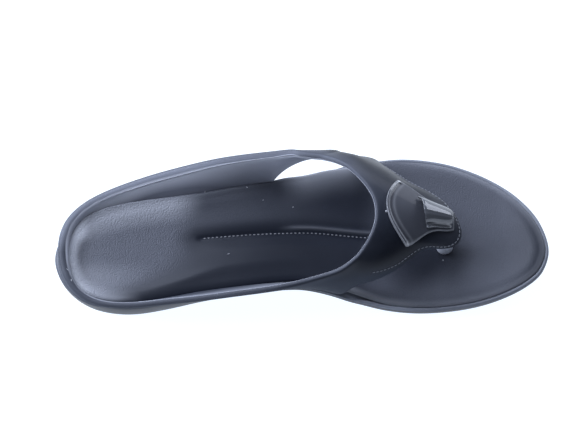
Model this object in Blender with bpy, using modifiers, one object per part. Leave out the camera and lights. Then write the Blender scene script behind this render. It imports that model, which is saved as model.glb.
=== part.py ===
"""Flat toe-post sandal for the left foot: sole, insole, upper, toe post and a two-piece ornament.

Tables are in millimetres, measured on the last: s runs from the back of the heel to the toe,
y from the inner (near, negative) to the outer (far, positive) side, z up from the floor.
"""

import math

import bmesh
import bpy
import numpy as np
from mathutils import Vector
from mathutils.bvhtree import BVHTree

MM = 0.001
GAP = 0.3  # clearance between pieces that touch
WELD = 0.001
SHARP_ANGLE = math.radians(50)

# The sole seen from above. The insets say how far the footbed's edge lies inside the sole's edge.
OUTLINE_COLUMNS = ("s", "near", "far", "near_inset", "far_inset")
OUTLINE = (
    (0.0, -12.5, -12.5, 8.2, 8.2),
    (4.0, -25.0, 0.6, 7.0, 7.4),
    (12.0, -33.6, 10.4, 5.4, 6.8),
    (24.0, -39.0, 17.2, 4.4, 7.0),
    (40.0, -40.8, 21.6, 4.2, 7.4),
    (58.0, -38.4, 24.6, 4.2, 7.6),
    (76.0, -34.7, 26.8, 4.2, 6.9),
    (94.0, -31.8, 29.0, 4.2, 5.1),
    (110.0, -29.6, 31.6, 4.2, 4.0),
    (119.0, -28.6, 32.4, 4.2, 1.7),
    (130.0, -28.2, 34.2, 4.2, 1.2),
    (143.0, -30.4, 38.4, 4.2, 1.3),
    (156.0, -34.2, 43.0, 4.0, 3.8),
    (172.0, -38.2, 45.6, 3.8, 4.0),
    (190.0, -39.8, 45.9, 3.8, 4.0),
    (208.0, -38.7, 42.9, 3.8, 4.0),
    (224.0, -35.8, 36.7, 3.8, 4.0),
    (238.0, -31.1, 27.9, 3.8, 4.0),
    (248.0, -25.9, 17.9, 3.8, 3.9),
    (255.0, -19.3, 7.1, 3.8, 3.8),
    (258.8, -7.4, -7.4, 3.8, 3.8),
)

# Heights along the shoe. ledge is the top of the sole, where insole and upper stand; dish is how
# deep the footbed lies below its rolled edge, and valley how deep its stitched seam is drawn in.
HEIGHT_COLUMNS = ("s", "floor", "ledge", "undercut", "dish", "valley", "seam")
HEIGHTS = (
    (0.0, 1.6, 20.0, 2.6, 0.6, 0.0, -11.0),
    (14.0, 0.0, 20.0, 2.6, 1.6, 0.0, -10.0),
    (40.0, 0.0, 20.0, 2.8, 1.8, 0.0, -7.5),
    (62.0, 0.0, 19.8, 3.4, 1.6, 0.0, -5.0),
    (80.0, 0.0, 19.2, 4.6, 1.3, 0.9, -3.0),
    (100.0, 2.6, 17.9, 6.4, 1.1, 1.6, -1.2),
    (122.0, 4.6, 15.6, 7.2, 1.0, 1.7, 0.8),
    (146.0, 2.4, 12.7, 6.0, 0.9, 1.6, 1.0),
    (166.0, 0.0, 10.6, 4.2, 0.9, 1.1, 0.2),
    (190.0, 0.0, 9.6, 3.4, 0.9, 0.2, 0.0),
    (212.0, 0.0, 9.9, 3.4, 0.9, 0.0, -1.5),
    (232.0, 2.0, 11.4, 3.4, 1.0, 0.0, -4.0),
    (258.8, 8.4, 15.6, 3.2, 0.8, 0.0, -8.0),
)
SPINE_FROM, SPINE_TO = 27.0, 232.0  # the footbed's fold line stops short of the round ends

# The sole's side from the tread up: share of its height, and share of the undercut left there.
SOLE_SIDE = ((0.03, 1.0), (0.16, 0.72), (0.40, 0.36), (0.72, 0.08), (1.0, 0.0))
SIDE_STOP, SIDE_RIM_RISE = 2.4, 3.0  # the side ends this far below the ledge, less where it has a rim
# The sole's top edge. Where it is plain: share of the way in to the wall's foot, and rise over the
# ledge. Where it has the raised rim of the forefoot: distance in, and rise over the ledge.
SOLE_TOP_EDGE = (
    (0.10, -1.2, 0.35, 2.0),
    (0.35, -0.4, 1.2, 2.6),
    (0.70, -0.1, 2.3, 2.3),
    (1.00, 0.0, 3.1, 0.6),
)
RIM_FROM_NEAR, RIM_FROM_FAR, RIM_FADE = 154.0, 171.0, 9.0  # where the raised rim begins
WELT, LEAST_SHOULDER = 1.0, 0.6  # width of the ledge that shows outside the wall, where there is room
LEDGE_MARGIN = 0.6  # the ledge's edge lies this far in under the footbed
TREAD_MARGIN = 1.6  # rounding between the side and the tread
TREAD_SHARES = (0.0, 0.5, 1.0)  # of the way from the spine to the tread's edge
LEDGE_SHARES = (1.0, 0.0)

INSOLE_THICKNESS = 4.4
INSOLE_EDGE = ((0.0, 2.4), (0.3, 1.1), (1.2, 0.25))  # distance in, and depth below the crest
INSOLE_UNDERSIDE, INSOLE_TOP = 0.5, 2.6  # where these faces begin, inside the footbed's edge
INSOLE_SHARES = (1.0, 0.93, 0.82, 0.66, 0.48, 0.32, 0.2, 0.1, 0.0)  # edge to spine
DISH_POWER = 4  # the footbed is flat across its middle and turns up at its edge
SEAM_WIDTH = 5.0

# The upper, one row for each rib, from the back of the heel along the near side, round the vamp
# and back along the far side. A rib runs from the outside lower edge of the wall to the inside
# edge of the collar. foot says where it starts: on the sole's ledge at station s, or at a free
# edge of the leather. bulge is how far the rib bows out, and rim the thickness at the collar.
RIB_COLUMNS = ("foot", "s", "y", "z", "collar_s", "collar_y", "collar_z", "bulge", "rim")
RIBS = (
    ("near", 0.0, 0, 0, 8.4, -9.7, 26.8, 0.2, 6.1),
    ("near", 4.5, 0, 0, 10.2, -22.7, 26.8, 0.2, 5.4),
    ("near", 12.0, 0, 0, 16.2, -32.8, 27.1, 0.2, 4.1),
    ("near", 24.0, 0, 0, 26.8, -38.4, 27.8, 0.2, 3.5),
    ("near", 40.0, 0, 0, 42.0, -39.8, 29.2, 0.2, 3.3),
    ("near", 58.0, 0, 0, 60.0, -38.7, 31.7, 0.2, 3.3),
    ("near", 76.0, 0, 0, 77.6, -37.7, 34.5, 0.2, 3.3),
    ("near", 94.0, 0, 0, 95.0, -36.6, 38.7, 0.3, 3.3),
    ("near", 110.0, 0, 0, 111.0, -35.7, 43.1, 0.6, 3.3),
    ("near", 125.0, 0, 0, 125.0, -34.2, 46.9, 1.2, 3.2),
    ("near", 138.0, 0, 0, 137.0, -31.8, 49.3, 2.0, 3.0),
    ("near", 149.0, 0, 0, 146.0, -29.3, 50.2, 2.4, 2.9),
    ("free", 154.0, -30.0, 19.5, 150.5, -26.8, 50.4, 2.4, 2.8),
    ("free", 159.5, -28.9, 24.6, 153.6, -24.3, 50.5, 2.4, 2.8),
    ("free", 166.5, -28.3, 29.0, 156.6, -22.0, 50.6, 2.4, 2.8),
    ("free", 174.0, -25.9, 32.8, 159.4, -18.8, 50.7, 2.4, 2.8),
    ("free", 181.0, -21.7, 34.8, 162.0, -15.0, 50.8, 2.4, 2.8),
    ("free", 187.2, -16.6, 35.6, 164.2, -10.9, 50.9, 2.4, 2.8),
    ("free", 193.6, -13.6, 35.6, 165.7, -7.2, 51.0, 2.4, 2.8),
    ("free", 202.0, -13.2, 34.4, 166.5, -4.0, 51.0, 2.4, 2.8),
    ("free", 208.6, -10.9, 34.0, 166.9, -1.2, 51.0, 2.4, 2.8),
    ("free", 211.4, -4.6, 34.3, 166.9, 1.8, 51.0, 2.4, 2.8),
    ("free", 209.2, 3.8, 34.8, 166.6, 5.0, 51.0, 2.4, 2.8),
    ("free", 204.2, 11.6, 35.2, 165.7, 8.4, 51.0, 2.4, 2.8),
    ("free", 196.4, 18.2, 34.0, 163.8, 12.2, 50.9, 2.6, 2.8),
    ("free", 187.6, 23.8, 30.6, 160.6, 16.8, 50.8, 3.0, 2.8),
    ("free", 179.8, 31.0, 26.2, 156.8, 21.0, 50.6, 3.6, 2.8),
    ("free", 173.6, 37.6, 20.6, 153.0, 24.3, 50.5, 3.4, 2.9),
    ("free", 170.6, 41.9, 18.6, 151.2, 25.2, 50.4, 3.2, 2.9),
    ("far", 167.2, 0, 0, 149.6, 25.8, 50.4, 3.1, 3.0),
    ("far", 161.0, 0, 0, 145.6, 27.6, 50.1, 3.0, 3.2),
    ("free", 156.4, 41.0, 19.0, 141.8, 29.0, 49.7, 2.8, 3.4),
    ("free", 153.4, 40.4, 28.0, 138.6, 29.9, 49.3, 3.0, 3.6),
    ("free", 148.0, 38.8, 35.6, 135.4, 30.5, 48.9, 2.0, 3.8),
    ("free", 140.5, 37.2, 40.0, 131.8, 31.2, 48.5, 1.4, 4.0),
    ("free", 131.5, 36.0, 41.2, 128.0, 31.9, 48.0, 1.0, 4.2),
    ("free", 123.0, 34.4, 36.0, 123.6, 32.5, 46.9, 0.6, 4.4),
    ("free", 117.2, 33.0, 28.4, 119.6, 32.7, 45.7, 0.4, 4.5),
    ("free", 114.2, 32.0, 22.0, 116.0, 32.8, 44.4, 0.3, 4.6),
    ("far", 111.6, 0, 0, 112.4, 32.8, 43.4, 0.3, 4.6),
    ("far", 98.0, 0, 0, 99.0, 32.9, 39.6, 0.3, 4.7),
    ("far", 82.0, 0, 0, 83.6, 32.2, 35.7, 0.3, 4.8),
    ("far", 64.0, 0, 0, 66.0, 29.5, 31.9, 0.3, 4.9),
    ("far", 46.0, 0, 0, 48.0, 24.8, 29.8, 0.2, 4.8),
    ("far", 28.0, 0, 0, 30.0, 18.0, 27.9, 0.2, 4.8),
    ("far", 13.0, 0, 0, 17.4, 10.3, 27.2, 0.2, 5.0),
    ("far", 4.5, 0, 0, 10.4, 1.3, 26.9, 0.2, 5.6),
)
WALL = 2.6  # leather and lining at the lower edge; the padded rim is thicker
RIM_CROWN = 0.9  # height of the rolled rim over half its width
HEM_CROWN = 0.7  # the same for a free lower edge

SPAN_STEPS = 3  # samples between two rows of the outline
RIB_COUNT = 100
RIB_STEPS = 8  # samples up each face of a rib
CAP_STEPS = 3  # samples over a rolled edge
RAY_START = 80.0  # a height well above the shoe
FOOT_CLEARANCE = 0.5  # between the wall's inside face and the footbed's edge

POST_CENTRE = (204.0, -6.2)  # s, y on the footbed
POST_LENGTH, POST_WIDTH = 9.0, 7.0  # along and across the foot
POST_WAIST = 0.9  # how much slimmer the post is half way up
POST_SIDES, POST_STEPS = 20, 5

# The ornament's plate in its own axes: a runs forward along the nose, half is its half width.
PLATE_COLUMNS = ("a", "half")
PLATE = (
    (0.0, 17.6),
    (5.7, 15.4),
    (9.7, 13.2),
    (13.7, 11.0),
    (16.7, 9.4),
    (20.7, 8.1),
    (24.7, 7.3),
    (30.7, 6.7),
    (35.7, 5.2),
)
PLATE_START = (171.5, 2.8)  # s, y of the middle of the plate's rear arc
PLATE_TURN = math.radians(-2.9)
PLATE_ARC, PLATE_SKEW = 8.4, 2.6  # the rear arc's depth, and how far it leans to the outer side
PLATE_SPINE = (10.7, 29.7)  # a at the ends of the plate's middle line
PLATE_THICKNESS, PLATE_GAP = 2.2, 0.6
PLATE_ROWS, PLATE_ACROSS = 10, 13  # samples along its sides and along its ends
PLATE_UNDER = (0.0, 0.17, 0.34, 0.51, 0.68, 0.84, 1.0)  # share of the way from the spine to the edge
PLATE_TOP = (  # the same share, rise over the plate's thickness, and share of the bead
    (1.00, -0.6, 0.5),
    (0.97, 0.0, 1.0),
    (0.90, 0.0, 1.0),
    (0.84, 0.0, 0.0),
    (0.60, 0.15, 0.0),
    (0.30, 0.25, 0.0),
    (0.00, 0.3, 0.0),
)
BEAD_HEIGHT, BEAD_REACH = 1.2, 2.5  # raised bead on the rear arc, and how far along a it fades
SLEEVE_ENDS = (16.5, 34.3)  # a
SLEEVE_SLANT = 2.0  # how far the crown of the rear end lies ahead of its feet
SLEEVE_MARGIN, SLEEVE_RISE, SLEEVE_WALL = 1.7, 4.4, 1.2
SLEEVE_ROWS, SLEEVE_COLUMNS = 6, 12

MATERIALS = {  # name: colour, roughness
    "sole_rubber": ((0.020, 0.022, 0.030), 0.55),
    "insole_leather": ((0.030, 0.034, 0.046), 0.45),
    "upper_leather": ((0.016, 0.018, 0.026), 0.30),
    "post_leather": ((0.024, 0.027, 0.036), 0.40),
    "plate_gloss": ((0.020, 0.022, 0.030), 0.22),
    "sleeve_gloss": ((0.020, 0.022, 0.030), 0.10),
}


def column(columns, rows, name):
    """One column of a table, as an array."""
    return np.array([row[columns.index(name)] for row in rows], float)


def curve_through(knots, values, at):
    """A smooth curve that never overshoots its rows (monotone cubic), read at some stations."""
    at = np.clip(at, knots[0], knots[-1])
    slopes = np.diff(values) / np.diff(knots)
    tangents = np.zeros(len(knots))
    same_way = slopes[:-1] * slopes[1:] > 0
    both = np.where(same_way, slopes[:-1] + slopes[1:], 1.0)
    tangents[1:-1] = np.where(same_way, 2 * slopes[:-1] * slopes[1:] / both, 0.0)
    span = np.clip(np.searchsorted(knots, at, side="right") - 1, 0, len(knots) - 2)
    width = knots[span + 1] - knots[span]
    f = (at - knots[span]) / width
    start, end = values[span], values[span + 1]
    rise = tangents[span] * width * f * (1 - f) ** 2
    fall = tangents[span + 1] * width * f * f * (1 - f)
    return start + (end - start) * f * f * (3 - 2 * f) + rise - fall


def height(name, s):
    """A column of HEIGHTS at stations s."""
    knots = column(HEIGHT_COLUMNS, HEIGHTS, "s")
    return curve_through(knots, column(HEIGHT_COLUMNS, HEIGHTS, name), np.asarray(s, float))


def closed_curve(points, knots, at):
    """A smooth closed curve through points (one row each) at increasing knots, read at others."""
    period = knots[-1]
    before, after = points[-2:-1], points[1:2]
    p = np.concatenate([before, points, after])
    k = np.concatenate([[knots[-2] - period], knots, [period + knots[1]]])
    tangents = (p[2:] - p[:-2]) / (k[2:] - k[:-2])[:, None]
    span = np.clip(np.searchsorted(knots, at, side="right") - 1, 0, len(knots) - 2)
    width = (knots[span + 1] - knots[span])[:, None]
    f = (at - knots[span])[:, None] / width
    start, end = points[span], points[span + 1]
    return (
        start * (1 + 2 * f) * (1 - f) ** 2
        + end * f * f * (3 - 2 * f)
        + tangents[span] * width * f * (1 - f) ** 2
        - tangents[span + 1] * width * f * f * (1 - f)
    )


def outline_loop(steps):
    """The sole's edge as a closed loop, with its inset and the matching spine point of each sample.

    It runs from the heel along the near side to the toe and back along the far side, with steps
    samples between two rows, so that sample i and its mirror sample share a spine point.
    """
    table = np.array(OUTLINE)
    there = table[:, [OUTLINE_COLUMNS.index(name) for name in ("s", "near", "near_inset")]]
    back = table[-2::-1, [OUTLINE_COLUMNS.index(name) for name in ("s", "far", "far_inset")]]
    rows = np.concatenate([there, back])
    chords = np.linalg.norm(np.diff(rows[:, :2], axis=0), axis=1)
    knots = np.concatenate([[0.0], np.cumsum(chords)])
    parts = np.arange(steps) / steps
    at = (knots[:-1, None] + np.diff(knots)[:, None] * parts).ravel()
    loop = closed_curve(rows, knots, at)
    along = np.roll(loop[:, :2], -1, axis=0) - np.roll(loop[:, :2], 1, axis=0)
    along /= np.linalg.norm(along, axis=1)[:, None]
    inward = np.stack([-along[:, 1], along[:, 0]], axis=1)
    mirror = (-np.arange(len(loop))) % len(loop)
    spine_s = np.clip((loop[:, 0] + loop[mirror, 0]) / 2, SPINE_FROM, SPINE_TO)
    spine = np.stack([spine_s, height("seam", spine_s)], axis=1)
    return loop[:, :2], inward, loop[:, 2], spine


def rim_share(points):
    """1 where the sole has its raised rim, round the forefoot, and 0 under the upper."""
    start = np.where(points[:, 1] < 0, RIM_FROM_NEAR, RIM_FROM_FAR)
    f = np.clip((points[:, 0] - start) / RIM_FADE, 0, 1)
    return f * f * (3 - 2 * f)


def ring(points, z):
    return np.column_stack([points, np.broadcast_to(z, len(points))])


def material(name):
    colour, roughness = MATERIALS[name]
    made = bpy.data.materials.new(name)
    made.use_nodes = True
    shader = made.node_tree.nodes["Principled BSDF"]
    shader.inputs["Base Color"].default_value = (*colour, 1.0)
    shader.inputs["Roughness"].default_value = roughness
    return made


def skin(name, rings, material_name, wrap=False):
    """An object whose surface joins each ring of points to the next. A ring whose points fall
    together closes an end, and wrap joins the last ring to the first."""
    mesh = bpy.data.meshes.new(name)
    work = bmesh.new()
    grid = [[work.verts.new(Vector(point) * MM) for point in points] for points in rings]
    if wrap:
        grid.append(grid[0])
    for lower, upper in zip(grid, grid[1:]):
        for i in range(len(lower)):
            work.faces.new((lower[i - 1], lower[i], upper[i], upper[i - 1]))
    bmesh.ops.remove_doubles(work, verts=work.verts, dist=WELD * MM)
    bmesh.ops.recalc_face_normals(work, faces=work.faces)
    work.to_mesh(mesh)
    work.free()
    mesh.shade_smooth()
    mesh.set_sharp_from_angle(angle=SHARP_ANGLE)
    mesh.materials.append(material(material_name))
    part = bpy.data.objects.new(name, mesh)
    bpy.data.collections["toe_post_sandal"].objects.link(part)
    return part


def make_sole():
    edge, inward, inset, spine = outline_loop(SPAN_STEPS)
    floor, ledge, undercut = (height(name, edge[:, 0]) for name in ("floor", "ledge", "undercut"))
    rim = rim_share(edge)
    shoulder = np.maximum(inset - WALL - WELT, LEAST_SHOULDER)
    side_top = ledge - SIDE_STOP + SIDE_RIM_RISE * rim

    def inside(distance):
        return edge + inward * distance[:, None]

    sole_rings = []
    for share in TREAD_SHARES:
        points = spine + (inside(undercut + TREAD_MARGIN) - spine) * share
        sole_rings.append(ring(points, height("floor", points[:, 0])))
    for rise, tucked in SOLE_SIDE:
        sole_rings.append(ring(inside(undercut * tucked), floor + (side_top - floor) * rise))
    for share, plain_rise, distance, rim_rise in SOLE_TOP_EDGE:
        points = inside(shoulder * share * (1 - rim) + distance * rim)
        sole_rings.append(ring(points, ledge + plain_rise * (1 - rim) + rim_rise * rim))
    for share in LEDGE_SHARES:
        points = spine + (inside(inset + LEDGE_MARGIN) - spine) * share
        sole_rings.append(ring(points, height("ledge", points[:, 0])))
    return skin("sole", sole_rings, "sole_rubber")


def footbed(points, share):
    """Height of the footbed at some points; share is 0 on the spine and 1 at the rolled edge."""
    s = points[:, 0]
    crest = height("ledge", s) + INSOLE_THICKNESS
    seam_distance = points[:, 1] - height("seam", s)
    valley = height("valley", s) * np.exp(-((seam_distance / SEAM_WIDTH) ** 2))
    return crest - height("dish", s) * (1 - share**DISH_POWER) - valley


def make_insole():
    edge, inward, inset, spine = outline_loop(SPAN_STEPS)

    def inside(distance):
        return edge + inward * (inset + distance)[:, None]

    insole_rings = []
    for share in (0.0, 1.0):
        points = spine + (inside(INSOLE_UNDERSIDE) - spine) * share
        insole_rings.append(ring(points, height("ledge", points[:, 0]) + GAP))
    crest = height("ledge", inside(0.0)[:, 0]) + INSOLE_THICKNESS
    for distance, depth in INSOLE_EDGE:
        insole_rings.append(ring(inside(distance), crest - depth))
    for share in INSOLE_SHARES:
        points = spine + (inside(INSOLE_TOP) - spine) * share
        insole_rings.append(ring(points, footbed(points, share)))
    return skin("insole", insole_rings, "insole_leather")


def ledge_point(side, station):
    """The outside foot of the upper's wall on the sole's ledge, on one side of the shoe."""
    edge, inward, inset, _ = outline_loop(4 * SPAN_STEPS)
    half = len(edge) // 2
    run = np.arange(half + 1) if side == "near" else np.arange(len(edge), half - 1, -1) % len(edge)
    foot = edge[run] + inward[run] * (inset[run] - WALL - FOOT_CLEARANCE)[:, None]
    at = np.interp(station, edge[run, 0], np.arange(len(run)))
    s, y = (np.interp(at, np.arange(len(run)), foot[:, axis]) for axis in (0, 1))
    return s, y, float(height("ledge", s)) + GAP


def upper_ribs():
    """All ribs, smoothly between the rows: lower ends, collar points, and columns bulge, rim and
    hem, which is 1 where the lower edge is free and 0 where it stands on the sole."""
    rows = []
    for rib in RIBS:
        named = dict(zip(RIB_COLUMNS, rib))
        free = named["foot"] == "free"
        lower = rib[1:4] if free else ledge_point(named["foot"], named["s"])
        rows.append((*lower, *rib[4:], float(free)))
    rows = np.array(rows + rows[:1])
    moved = np.diff(rows[:, :6], axis=0)
    chords = np.linalg.norm(moved[:, :3], axis=1) + np.linalg.norm(moved[:, 3:], axis=1)
    knots = np.concatenate([[0.0], np.cumsum(np.sqrt(chords))])
    at = np.arange(RIB_COUNT) / RIB_COUNT * knots[-1]
    ribs = closed_curve(rows, knots, at)
    return ribs[:, :3], ribs[:, 3:6], ribs[:, 6:]


def unit(vectors):
    return vectors / np.linalg.norm(vectors, axis=-1, keepdims=True)


def rolled(start, end, away, crown):
    """Rings of points over a rounded edge, from one face of the wall to the other."""
    middle, half = (start + end) / 2, (end - start) / 2
    lift = unit(away) * np.linalg.norm(half, axis=1)[:, None] * np.reshape(crown, (-1, 1))
    turns = np.linspace(0, math.pi, CAP_STEPS + 2)[1:-1]
    return [middle - half * math.cos(turn) + lift * math.sin(turn) for turn in turns]


def make_upper():
    lower, collar, columns = upper_ribs()
    bulge, rim, hem = columns.T
    middle = (lower + collar) / 2
    along = np.roll(middle, -1, axis=0) - np.roll(middle, 1, axis=0)
    bow = middle + unit(np.cross(along, collar - lower)) * bulge[:, None] * 2
    climb = np.linspace(0, 1, RIB_STEPS)[:, None, None]
    shown = lower * (1 - climb) ** 2 + bow * 2 * climb * (1 - climb) + collar * climb**2
    around = np.roll(shown, -1, axis=1) - np.roll(shown, 1, axis=1)
    outward = unit(np.cross(around, np.gradient(shown, axis=0)))
    square = (1 - np.clip(hem, 0, 1)) * (1 - climb[..., 0]) ** 2
    outward[..., 2] *= 1 - square  # a wall that stands on the ledge stands square on it
    outward = unit(outward)
    inner = shown - outward * WALL * (1 - climb)
    swell = climb * climb * (3 - 2 * climb)
    outer = inner + outward * (WALL + (rim[:, None] - WALL) * swell)
    for face in (inner, outer):
        face[..., 2] = np.maximum(face[..., 2], height("ledge", face[..., 0]) + GAP)
    over = rolled(outer[-1], inner[-1], shown[-1] - shown[-2], RIM_CROWN)
    under = rolled(inner[0], outer[0], shown[0] - shown[1], HEM_CROWN * np.clip(hem, 0, 1))
    return skin("upper", [*outer, *over, *inner[::-1], *under], "upper_leather", wrap=True)


def surface_of(part):
    """A tree for casting rays at a finished piece."""
    mesh = part.data
    return BVHTree.FromPolygons([v.co for v in mesh.vertices], [p.vertices for p in mesh.polygons])


def cast(tree, points, start, direction):
    """Heights at which vertical rays from height start meet a piece."""
    found = []
    for s, y in points:
        hit = tree.ray_cast(Vector((s, y, start)) * MM, Vector((0, 0, direction)))[0]
        found.append(hit.z / MM)
    return np.array(found)


def make_toe_post(insole, upper):
    turns = np.arange(POST_SIDES) / POST_SIDES * 2 * math.pi
    unit_ring = np.stack([np.cos(turns) * POST_LENGTH / 2, np.sin(turns) * POST_WIDTH / 2], axis=1)
    centre = np.array(POST_CENTRE)
    full = centre + unit_ring
    between = height("ledge", POST_CENTRE[0]) + 2 * INSOLE_THICKNESS
    bottom = cast(surface_of(insole), full, between, -1) + GAP
    top = cast(surface_of(upper), full, between, 1) - GAP
    post_rings = [ring(np.tile(centre, (POST_SIDES, 1)), bottom.mean())]
    for share in np.linspace(0, 1, POST_STEPS):
        slim = 1 - (1 - POST_WAIST) * math.sin(math.pi * share)
        post_rings.append(ring(centre + unit_ring * slim, bottom + (top - bottom) * share))
    post_rings.append(ring(np.tile(centre, (POST_SIDES, 1)), top.mean()))
    return skin("toe_post", post_rings, "post_leather")


def plate_points(a, b):
    """Places on the nose, from above: a runs along the plate and b from -1 to 1 across it."""
    knots = column(PLATE_COLUMNS, PLATE, "a")
    half = curve_through(knots, column(PLATE_COLUMNS, PLATE, "half"), a)
    along = a + (1 - a / knots[-1]) * (PLATE_ARC * b * b - PLATE_SKEW * b)
    cos, sin = math.cos(PLATE_TURN), math.sin(PLATE_TURN)
    s = PLATE_START[0] + along * cos - half * b * sin
    return np.stack([s, PLATE_START[1] + along * sin + half * b * cos], axis=-1)


def make_ornament_plate(upper):
    front = PLATE[-1][0]
    long, across = np.linspace(0, front, PLATE_ROWS), np.linspace(-1, 1, PLATE_ACROSS)
    side, end = np.ones(PLATE_ROWS - 1), np.ones(PLATE_ACROSS - 1)
    a = np.concatenate([0 * end, long[:-1], front * end, long[:0:-1]])
    b = np.concatenate([across[:-1], side, across[:0:-1], -side])
    edge = plate_points(a, b)
    spine = plate_points(np.clip(a, *PLATE_SPINE), np.zeros_like(a))
    rear = np.clip(1 - a / BEAD_REACH, 0, 1)
    tree = surface_of(upper)
    lying = [(share, PLATE_GAP, 0.0) for share in PLATE_UNDER]
    lying += [(share, PLATE_THICKNESS + rise, bead) for share, rise, bead in PLATE_TOP]
    plate_rings = []
    for share, lift, bead in lying:
        points = spine + (edge - spine) * share
        under = cast(tree, points, RAY_START, -1)
        plate_rings.append(ring(points, under + lift + BEAD_HEIGHT * bead * rear))
    return skin("ornament_plate", plate_rings, "plate_gloss")


def make_ornament_sleeve(plate):
    rear, front = SLEEVE_ENDS
    turns = np.linspace(-math.pi / 2, math.pi / 2, SLEEVE_COLUMNS + 1)
    tree = surface_of(plate)
    work = bmesh.new()
    grid = []
    for share in np.linspace(0, 1, SLEEVE_ROWS):
        middle = rear + (front - rear) * share
        half = np.linalg.norm(plate_points(middle, 1.0) - plate_points(middle, -1.0)) / 2
        reach = (half - SLEEVE_MARGIN) / half
        a = middle + SLEEVE_SLANT * np.cos(turns) * (1 - share)
        points = plate_points(a, np.sin(turns) * reach)
        foot = cast(tree, points, RAY_START, -1) + GAP
        rows = ring(points, foot + SLEEVE_RISE * np.cos(turns))
        grid.append([work.verts.new(Vector(point) * MM) for point in rows])
    for lower, upper in zip(grid, grid[1:]):
        for i in range(SLEEVE_COLUMNS):
            work.faces.new((lower[i], upper[i], upper[i + 1], lower[i + 1]))
    mesh = bpy.data.meshes.new("ornament_sleeve")
    bmesh.ops.recalc_face_normals(work, faces=work.faces)
    work.to_mesh(mesh)
    work.free()
    mesh.shade_smooth()
    mesh.materials.append(material("sleeve_gloss"))
    sleeve = bpy.data.objects.new("ornament_sleeve", mesh)
    bpy.data.collections["toe_post_sandal"].objects.link(sleeve)
    shell = sleeve.modifiers.new("wall", "SOLIDIFY")
    shell.thickness = SLEEVE_WALL * MM
    shell.offset = 1.0
    return sleeve


def stand_at_origin(parts):
    """Hangs the parts on one empty that puts the middle of their box's underside at the origin."""
    corners = np.array([v.co for part in parts for v in part.data.vertices])
    low, high = corners.min(axis=0), corners.max(axis=0)
    base = bpy.data.objects.new("base", None)
    base.location = (-(low[0] + high[0]) / 2, -(low[1] + high[1]) / 2, -low[2])
    bpy.data.collections["toe_post_sandal"].objects.link(base)
    for part in parts:
        part.parent = base


def clear_scene():
    for existing in list(bpy.data.objects):
        bpy.data.objects.remove(existing, do_unlink=True)


def main():
    clear_scene()
    group = bpy.data.collections.new("toe_post_sandal")
    bpy.context.scene.collection.children.link(group)
    sole, insole, upper = make_sole(), make_insole(), make_upper()
    post = make_toe_post(insole, upper)
    plate = make_ornament_plate(upper)
    sleeve = make_ornament_sleeve(plate)
    stand_at_origin((sole, insole, upper, post, plate, sleeve))


main()
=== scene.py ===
import math

import bmesh
import bpy
import numpy as np
from mathutils import Matrix, Vector
from mathutils.bvhtree import BVHTree
from mathutils.kdtree import KDTree


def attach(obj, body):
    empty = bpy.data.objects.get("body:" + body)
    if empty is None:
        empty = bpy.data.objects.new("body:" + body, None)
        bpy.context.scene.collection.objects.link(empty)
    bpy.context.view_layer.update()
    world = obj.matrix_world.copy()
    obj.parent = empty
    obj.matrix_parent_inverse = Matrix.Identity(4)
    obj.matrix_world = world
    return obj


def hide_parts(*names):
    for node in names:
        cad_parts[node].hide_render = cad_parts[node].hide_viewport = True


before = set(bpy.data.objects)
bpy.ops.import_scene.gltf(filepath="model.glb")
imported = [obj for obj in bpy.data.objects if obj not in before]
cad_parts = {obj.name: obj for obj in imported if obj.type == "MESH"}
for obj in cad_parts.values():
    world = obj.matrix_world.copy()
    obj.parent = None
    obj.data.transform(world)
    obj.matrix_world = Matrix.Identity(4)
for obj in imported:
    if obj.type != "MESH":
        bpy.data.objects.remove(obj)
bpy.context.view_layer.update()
mm = 0.001
weld = 0.001 * mm  # vertices closer than this are merged
print("frame loaded:", ", ".join(sorted(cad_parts)))


# small tools

def smooth(low, high, value):  # 0 below low, 1 above high, soft in between
    t = min(1.0, max(0.0, (value - low) / (high - low)))
    return t * t * (3 - 2 * t)


def between(a, b, c, d, value):  # rises from a to b and falls again from c to d
    return smooth(a, b, value) * (1 - smooth(c, d, value))


def hump(distance, width):  # a soft ridge, 1 at its middle
    return math.exp(-((distance / width) ** 2))


def along(table, x):  # a soft curve through the rows (x, value) of a short table
    x = min(table[-1][0], max(table[0][0], x))
    i = next(k for k in range(len(table) - 1) if x <= table[k + 1][0])

    def slope(k):
        a, b = table[max(k - 1, 0)], table[min(k + 1, len(table) - 1)]
        return (b[1] - a[1]) / (b[0] - a[0])

    (x0, v0), (x1, v1) = table[i], table[i + 1]
    t, span = (x - x0) / (x1 - x0), x1 - x0
    return (v0 + (v1 - v0) * t * t * (3 - 2 * t)
            + span * t * (1 - t) * (slope(i) * (1 - t) - slope(i + 1) * t))


def cadCopy(node):  # a merged copy of a solid's mesh, with its triangles paired up
    bm = bmesh.new()
    bm.from_mesh(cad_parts[node].data)
    bmesh.ops.remove_doubles(bm, verts=bm.verts, dist=weld)
    bmesh.ops.join_triangles(bm, faces=bm.faces, angle_face_threshold=math.radians(40),
                             angle_shape_threshold=math.radians(60))
    return bm


def subdivided(bm, levels):  # Subdivision Surface, applied
    mesh = bpy.data.meshes.new("cage")
    bm.to_mesh(mesh)
    cage = bpy.data.objects.new("cage", mesh)
    bpy.context.scene.collection.objects.link(cage)
    modifier = cage.modifiers.new("smooth", "SUBSURF")
    modifier.levels = modifier.render_levels = levels
    made = cage.evaluated_get(bpy.context.evaluated_depsgraph_get()).to_mesh()
    bm.clear()
    bm.from_mesh(made)
    bpy.data.objects.remove(cage)
    bpy.data.meshes.remove(mesh)
    return bm


def sculpt(bm, rise):  # moves each vertex along its normal by rise(x, y, z, normal), all in mm
    bm.normal_update()
    moves = [rise(*(v.co / mm), v.normal) for v in bm.verts]
    for v, move in zip(bm.verts, moves):
        v.co += v.normal * move * mm


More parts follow.
